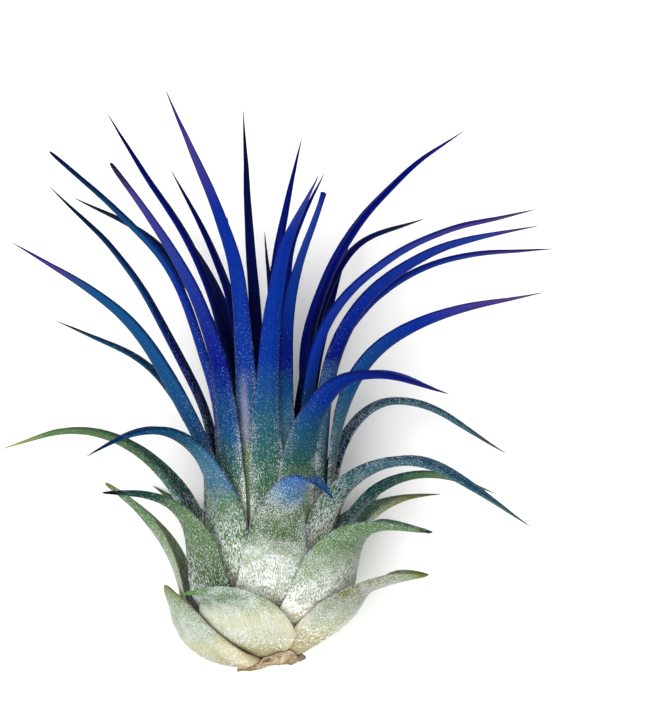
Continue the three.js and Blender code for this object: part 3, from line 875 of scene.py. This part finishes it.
# %% [markdown]
# ## The coat of scales
# Each scale is a three-sided sliver, nearly flat, that lies along the leaf and lifts its point a
# little. One is modelled from a cone. The copies are set out by chance over each leaf: more where
# the coat is thick, none where another leaf covers the place. They are copied as plain arrays of
# points, because there are far too many to make one by one.

# %% One scale
SCALE_LENGTH, SCALE_WIDTH, SCALE_THICKNESS = 0.48 * MM, 0.13 * MM, 0.04 * MM
CONE_WIDTH = math.sqrt(3)  # a side of the triangle in a circle of radius 1

bpy.ops.object.select_all(action="DESELECT")
bpy.ops.mesh.primitive_cone_add(vertices=3, radius1=1, depth=1, location=(0, 0, 0.5))
model_scale = bpy.context.object
bpy.ops.object.mode_set(mode="EDIT")
bpy.ops.mesh.select_all(action="SELECT")
bpy.ops.mesh.quads_convert_to_tris()
bpy.ops.object.mode_set(mode="OBJECT")
shape = points_of(model_scale.data) + (0, 0, 0.5)
shape = shape[:, [0, 2, 1]] * (SCALE_WIDTH / CONE_WIDTH, SCALE_LENGTH, SCALE_THICKNESS)
shape_faces = np.array([list(face.vertices) for face in model_scale.data.polygons])[:, ::-1]
bpy.data.objects.remove(model_scale)
print("a scale has", len(shape_faces), "faces")

# %% What covers what
COVERED_WITHIN = 1.3 * MM
CLEAR = 0.06 * MM

every_point, every_face, count = [], [], 0
for leaf in leaves.values():
    every_point.append(points_of(leaf.data))
    every_face += [[i + count for i in face.vertices] for face in leaf.data.polygons]
    count += len(leaf.data.vertices)
cover_tree = BVHTree.FromPolygons(np.concatenate(every_point).tolist(), every_face)
print("faces in the search tree:", len(every_face))

# %% Scatter the scales
INNER_COAT = 0.7  # the inner face of a blade has a thinner coat
SHEATH_SHARE = 0.3  # below this share of its length, a leaf's inner face is hidden
BARE_MARGIN, BARE_COAT = 0.85, 0.2  # the thin margin of a sheath is nearly bare
BLADE_SCALE = 0.5  # the size of scales on a blade, beside those on a sheath
SHRINK_SPAN, FINE_SHRINK_SPAN = (0.2, 0.5), (0, 0.25)  # where along a leaf they get smaller
SCALE_SIZES, SCALE_STRENGTHS = (0.7, 1.25), (0.6, 1)  # the least and the most by chance
SWING = math.radians(26)
LIFT_LOW, LIFT_HIGH = math.radians(8), math.radians(30)
SINK = 0.02 * MM
TINY = 1e-15


def scatter(leaf, coat):
    """Places, directions and normals for the scales of one leaf, and their share along it."""
    mesh = leaf.data
    mesh.calc_loop_triangles()
    corners = np.array([triangle.vertices[:] for triangle in mesh.loop_triangles])
    places = points_of(mesh)[corners]
    along = read_attribute(mesh, "along")[corners]
    inside = read_attribute(mesh, "inside")[corners].mean(axis=1)
    margin = np.abs(read_attribute(mesh, "across")[corners].mean(axis=1))
    normal = np.cross(places[:, 1] - places[:, 0], places[:, 2] - places[:, 0])
    area = np.linalg.norm(normal, axis=1)
    normal /= np.maximum(area, TINY)[:, None]
    reach = along.mean(axis=1)
    density = along_curve(COATS[coat][0], reach)
    density *= np.where((margin > BARE_MARGIN) & (reach < SHEATH_SHARE), BARE_COAT, 1)
    if coat in FINE_COATS:
        density *= towards_margin(margin)
    density *= np.where(inside > 0.5, np.where(reach < SHEATH_SHARE, 0, INNER_COAT), 1)
    expected = density * area / 2 / MM**2
    total = int(expected.sum())
    chosen = draw.choice(len(corners), total, p=expected / expected.sum())
    first, second = draw.random((2, total))
    over = first + second > 1
    first[over], second[over] = 1 - first[over], 1 - second[over]
    weights = np.stack([1 - first - second, first, second], axis=1)
    spots = (places[chosen] * weights[:, :, None]).sum(axis=1)
    edges = places[chosen][:, [2, 0, 1]] - places[chosen][:, [1, 2, 0]]
    slope = (np.cross(normal[chosen][:, None], edges) * along[chosen][:, :, None]).sum(axis=1)
    slope /= np.maximum(np.linalg.norm(slope, axis=1), TINY)[:, None]
    return spots, slope, normal[chosen], (along[chosen] * weights).sum(axis=1)


def uncovered(spots, normals):
    """Which places have nothing close above them."""
    found = np.zeros(len(spots), bool)
    for i, (spot, way) in enumerate(zip(spots, normals)):
        start = Vector(spot + way * CLEAR)
        found[i] = cover_tree.ray_cast(start, Vector(way), COVERED_WITHIN)[0] is None
    return found


def grow_scales(number, leaf, coat):
    spots, tipward, normals, along = scatter(leaf, coat)
    keep = uncovered(spots, normals)
    spots, tipward, normals, along = spots[keep], tipward[keep], normals[keep], along[keep]
    total = len(spots)
    side = np.cross(tipward, normals)
    swing = draw.uniform(-SWING, SWING, total)[:, None]
    lift = draw.uniform(LIFT_LOW, LIFT_HIGH, total)[:, None]
    span = FINE_SHRINK_SPAN if coat in FINE_COATS else SHRINK_SPAN
    size = draw.uniform(*SCALE_SIZES, total) * np.interp(along, span, (1, BLADE_SCALE))
    size = size[:, None]
    flat = np.cos(swing) * tipward + np.sin(swing) * side
    across = np.cos(swing) * side - np.sin(swing) * tipward
    way = np.cos(lift) * flat + np.sin(lift) * normals
    up = np.cos(lift) * normals - np.sin(lift) * flat
    spots = spots - normals * SINK
    axes = np.stack([across * size, way * size, up * size], axis=1)
    points = spots[:, None] + np.einsum("kc,ncd->nkd", shape, axes)
    numbers = np.arange(total)[:, None, None] * len(shape) + shape_faces[None]
    mesh = bpy.data.meshes.new(f"scales_{number:02d}")
    mesh.from_pydata(points.reshape(-1, 3).tolist(), [], numbers.reshape(-1, 3).tolist())
    write_attribute(mesh, "along", np.repeat(along, len(shape)))
    write_attribute(mesh, "scale", np.repeat(draw.uniform(*SCALE_STRENGTHS, total), len(shape)))
    piece = bpy.data.objects.new(mesh.name, mesh)
    scene.collection.objects.link(piece)
    return piece


# %% Dress every leaf
scale_count = 0
for number, (slot, coat, ramp, inner) in FINISHES.items():
    leaf = leaves[number]
    material = leaf_material(number, slot, coat, ramp, inner)
    scales = grow_scales(number, leaf, coat)
    scale_count += len(scales.data.polygons) // len(shape_faces)
    for piece in (leaf, scales):
        piece.data.materials.clear()
        piece.data.materials.append(material)
        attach(piece, "root")
    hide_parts(f"leaf_{number:02d}")
print("scales:", scale_count, "with", scale_count * len(shape_faces), "triangles")

# %% [markdown]
# ## The stem and the dry foot
# The stem hides inside the bulb, and its solid is right as it is: it only gets a fibrous skin.
# The dry foot is what is left of older leaves.

# %% Fibrous material
FIBRE_STRETCH = (1, 0.25, 1)
BLOTCH_SIZE = 5  # times the size of the fibres
FIBRE_SHARE, BLOTCH_SHARE, DARK_TO_LIGHT = 0.6, 0.5, (0.4, 0.7)
FIBRE_ROUGHNESS = (0.3, 0.7, 0.95, 0.7)
FIBRE_BUMP, FIBRE_DEPTH = 0.8, 0.1 * MM
TAIL_REACH = (-2.6 * MM, -1.2 * MM)  # left of the stem, where a tail begins


def fibre_material(name, light, dark, size, tail=None):
    """Bark-like fibres. A tail is the colour of the part that lies left of the stem."""
    material = bpy.data.materials.new(name)
    material.use_nodes = True
    tree = material.node_tree
    shader = tree.nodes["Principled BSDF"]
    spot = add_node(tree, "ShaderNodeTexCoord").outputs["Object"]
    stretched = add_node(tree, "ShaderNodeMapping")
    feed(tree, spot, stretched.inputs["Vector"])
    stretched.inputs["Scale"].default_value = FIBRE_STRETCH
    fibres = noise_value(tree, stretched.outputs[0], size, 4)
    blotches = maths(tree, "MULTIPLY", noise_value(tree, spot, size / BLOTCH_SIZE, 3), BLOTCH_SHARE)
    mixed = maths(tree, "MULTIPLY_ADD", fibres, FIBRE_SHARE, blotches)
    share = map_range(tree, mixed, *DARK_TO_LIGHT)
    colour = mix_colours(tree, share, dark, light)
    if tail:
        apart = add_node(tree, "ShaderNodeSeparateXYZ")
        feed(tree, spot, apart.inputs[0])
        left = map_range(tree, apart.outputs["X"], *TAIL_REACH, 1.0, 0.0)
        colour = mix_colours(tree, left, colour, mix_colours(tree, share, dark, tail))
    feed(tree, colour, shader.inputs["Base Color"])
    feed(tree, map_range(tree, fibres, *FIBRE_ROUGHNESS), shader.inputs["Roughness"])
    add_bump(tree, fibres, FIBRE_BUMP, FIBRE_DEPTH, shader)
    return material


stem = frame["nodes"]["stem"]
stem_fibre = fibre_material("stem_fibre", (0.72, 0.66, 0.36, 1), (0.5, 0.42, 0.2, 1), 2500)
stem.data.materials.clear()
stem.data.materials.append(stem_fibre)

# %% Dry foot
dark_bark = fibre_material("dark_bark", (0.3, 0.22, 0.13, 1), (0.03, 0.022, 0.01, 1), 3000)
dry_paper = fibre_material("dry_paper", (0.56, 0.45, 0.3, 1), (0.22, 0.15, 0.08, 1), 2500,
                           tail=(0.26, 0.2, 0.03, 1))
FOOT_SUBDIVISIONS = 3
LUMPS = ((700, 0.3), (2500, 0.12))  # waves per metre, and how far they move a point in millimetres


def dress_foot(piece, material):
    piece.data.materials.clear()
    piece.data.materials.append(material)
    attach(piece, "root")


foot = copy_node("dry_base", "dry_foot")
modifier = foot.modifiers.new("round", "SUBSURF")
modifier.levels = modifier.render_levels = FOOT_SUBDIVISIONS
bpy.ops.object.modifier_apply(modifier=modifier.name)
for vertex in foot.data.vertices:
    for size, amount in LUMPS:
        vertex.co += noise.noise_vector(vertex.co * size) * amount * MM
bpy.ops.object.shade_smooth()
dress_foot(foot, dark_bark)
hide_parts("dry_base")

# %% [markdown]
# A papery flake of an old leaf base still clings to the front of the foot. It is a grid that is laid
# on the foot and the sheaths from in front, wrinkled, curled at its upper edge and given a thickness.

# %% Papery flake
FRONT = Vector((1, 0, 0)).cross(STEM_WAY)
# Its outline, in millimetres: height above the stem's foot at distances to the right of it.
FLAKE_TOP = {-4.5: -1.3, -3.5: -0.8, -2.2: -0.3, -0.6: 0.7, 0.8: 1.5, 2.4: 1.8, 3: 1.3, 3.5: 0.2}
FLAKE_BOTTOM = {-4.5: -1.6, -1.6: -1.5, -0.6: -1.1, 1: -0.5, 2.5: -0.3, 3.5: -0.2}
FLAKE_SPAN = (min(FLAKE_TOP), max(FLAKE_TOP))
FLAKE_GRID = (36, 12)
REACH = 15 * MM  # how far in front of the stem's foot the search for what lies under it starts
FREE_REACH = 12.5 * MM  # how far back the flake lies where nothing is under it
FLAKE_GAP, FLAKE_THICKNESS = 0.3 * MM, 0.12 * MM
TORN_WAVES, TORN_EDGE = 2, 0.25  # to the millimetre, and in millimetres
CREASE_WAVES, CREASE_DEPTH = (2.4, 0.8), 0.3 * MM
CURL_FROM, CURL = 0.6, 4 * MM  # the upper edge comes forward from this share of the height

foot_tree = BVHTree.FromPolygons(points_of(foot.data).tolist(),
                                 [list(face.vertices) for face in foot.data.polygons])
bpy.ops.object.select_all(action="DESELECT")
bpy.ops.mesh.primitive_grid_add(x_subdivisions=FLAKE_GRID[0], y_subdivisions=FLAKE_GRID[1], size=1)
flake = bpy.context.object
flake.name = flake.data.name = "dry_flake"
for vertex in flake.data.vertices:
    sideways = FLAKE_SPAN[0] + (vertex.co.x + 0.5) * (FLAKE_SPAN[1] - FLAKE_SPAN[0])
    rise = vertex.co.y + 0.5
    torn = noise.noise(Vector((sideways * TORN_WAVES, rise, 7))) * TORN_EDGE
    bottom, top = along_curve(FLAKE_BOTTOM, sideways), along_curve(FLAKE_TOP, sideways)
    height = bottom + rise * (top - bottom) + torn
    start = STEM_FOOT + (Vector((1, 0, 0)) * sideways + STEM_WAY * height) * MM + FRONT * REACH
    gaps = [tree.ray_cast(start, -FRONT, REACH)[3] or FREE_REACH for tree in (cover_tree, foot_tree)]
    folds = Vector((sideways * CREASE_WAVES[0], rise * CREASE_WAVES[1], 3))
    crease = noise.noise(folds) * CREASE_DEPTH
    curl = max(0, rise - CURL_FROM) ** 2 * CURL
    vertex.co = start - FRONT * (min(gaps) - FLAKE_GAP - crease - curl)
bpy.ops.object.mode_set(mode="EDIT")
bpy.ops.mesh.select_all(action="SELECT")
bpy.ops.mesh.vertices_smooth(factor=0.5, repeat=3)
bpy.ops.object.mode_set(mode="OBJECT")
modifier = flake.modifiers.new("paper", "SOLIDIFY")
modifier.thickness = FLAKE_THICKNESS
bpy.ops.object.modifier_apply(modifier=modifier.name)
bpy.ops.object.shade_smooth()
dress_foot(flake, dry_paper)
print("flake:", [round(size / MM, 1) for size in flake.dimensions], "mm")

# %% [markdown]
# ## Table and light
# The photograph was taken on a white surface in bright, soft light from above, so the floor is white
# and nearly all of the light comes from the sky. One soft lamp adds the gentle shading.

# %% Floor, sky and lamp
FLOOR_SIZE, FLOOR_WHITE, FLOOR_ROUGHNESS = 4, (0.96, 0.96, 0.95, 1), 0.6
SKY_WHITE, SKY_STRENGTH = (1, 1, 1, 1), 0.62
LAMP_PLACE, LAMP_SIZE, LAMP_POWER = (-0.08, -0.1, 0.5), 0.45, 3

bpy.ops.object.select_all(action="DESELECT")
bpy.ops.mesh.primitive_plane_add(size=FLOOR_SIZE, location=(0, 0, 0))
floor = bpy.context.object
floor.name = "table"
paper = bpy.data.materials.new("white_table")
paper.use_nodes = True
paper.node_tree.nodes["Principled BSDF"].inputs["Base Color"].default_value = FLOOR_WHITE
paper.node_tree.nodes["Principled BSDF"].inputs["Roughness"].default_value = FLOOR_ROUGHNESS
floor.data.materials.append(paper)

world = bpy.data.worlds.new("soft_sky")
world.use_nodes = True
world.node_tree.nodes["Background"].inputs["Color"].default_value = SKY_WHITE
world.node_tree.nodes["Background"].inputs["Strength"].default_value = SKY_STRENGTH
scene.world = world

bpy.ops.object.light_add(type="AREA", location=LAMP_PLACE)
lamp = bpy.context.object
lamp.name = "soft_lamp"
lamp.data.size = LAMP_SIZE
lamp.data.energy = LAMP_POWER
lamp.rotation_euler = (-Vector(LAMP_PLACE)).to_track_quat("-Z", "Y").to_euler()
scene.view_settings.view_transform = "Standard"
